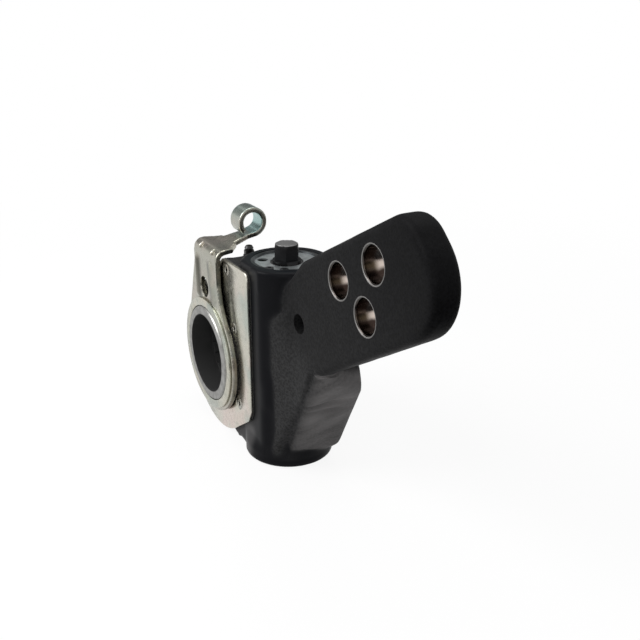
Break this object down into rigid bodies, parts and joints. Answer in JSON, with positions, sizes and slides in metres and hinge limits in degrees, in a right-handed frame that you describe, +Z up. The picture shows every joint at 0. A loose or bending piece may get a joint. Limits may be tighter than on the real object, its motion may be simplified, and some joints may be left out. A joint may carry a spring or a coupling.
{
  "type": "brake slack adjuster",
  "caption": "Self-adjusting brake slack adjuster: forged lever with bushed pin holes, splined hub turned by a worm under an adjusting hexagon, and a stamped control arm with a curled eye.",
  "frame": {"origin": "On the axis of the splined bore, at the hub's front face, which is the control arm's side.", "axes": "+X points to the lever's side, -Y out of the front along the bore, and +Z up along the worm to its hexagon."},
  "size_m": [0.2047, 0.048, 0.143],
  "materials": {
    "body": "matte",
    "bush": "satin",
    "plate": "satin",
    "gasket": "matte",
    "screw": "satin",
    "arm": "satin",
    "ring": "satin",
    "hub": "satin",
    "worm": "satin",
    "cap": "satin",
    "snap": "satin",
    "rubber": "matte",
    "nipple": "satin",
    "bronze": "satin",
    "steel": "satin"
  },
  "bodies": {
    "body": {"housing": "body", "lever_bushings": "bush", "cover_plate": "plate", "cover_gasket": "gasket", "cover_screws": "screw", "top_cap": "cap", "snap_ring": "snap", "shaft_seal": "rubber", "grease_nipple": "nipple", "dust_seal": "rubber", "front_bearing_ring": "bronze", "rear_hub_seal": "rubber", "main_spring": "steel", "spring_seat": "steel", "thrust_race_upper": "steel", "thrust_balls": "steel", "bottom_washer": "bronze"},
    "worm": {"worm_shaft": "worm", "thrust_race_lower": "steel", "clutch_wheel": "steel"},
    "wheel": {"worm_wheel": "hub"},
    "control": {"control_arm": "arm", "control_ring": "ring"},
    "rack": {"rack": "steel"},
    "pinion": {"drive_pinion": "steel", "clutch_spring": "steel"}
  },
  "joints": [
    {"name": "worm_turn", "type": "hinge", "parent": "body", "child": "worm", "pos_m": [0.04034, 0.026, 0], "axis": [0, 0, 1], "continuous": true},
    {"name": "wheel_turn", "type": "hinge", "parent": "body", "child": "wheel", "pos_m": [0, 0, 0], "axis": [0, 1, 0], "continuous": true},
    {"name": "control_swing", "type": "hinge", "parent": "body", "child": "control", "pos_m": [0, 0, 0], "axis": [0, -1, 0], "range_deg": [0, 18]},
    {"name": "rack_slide", "type": "slide", "parent": "body", "child": "rack", "axis": [1, 0, 0], "range_m": [0, 0.0086]},
    {"name": "pinion_turn", "type": "hinge", "parent": "body", "child": "pinion", "pos_m": [0.04034, 0.026, 0], "axis": [0, 0, 1], "range_deg": [0, 44.6]}
  ],
  "couplings": [
    {"joint": "wheel_turn", "follows": "worm_turn", "ratio": 0.041667},
    {"joint": "rack_slide", "follows": "control_swing", "m_per_rad": 0.0272},
    {"joint": "pinion_turn", "follows": "control_swing", "ratio": 2.4727}
  ]
}
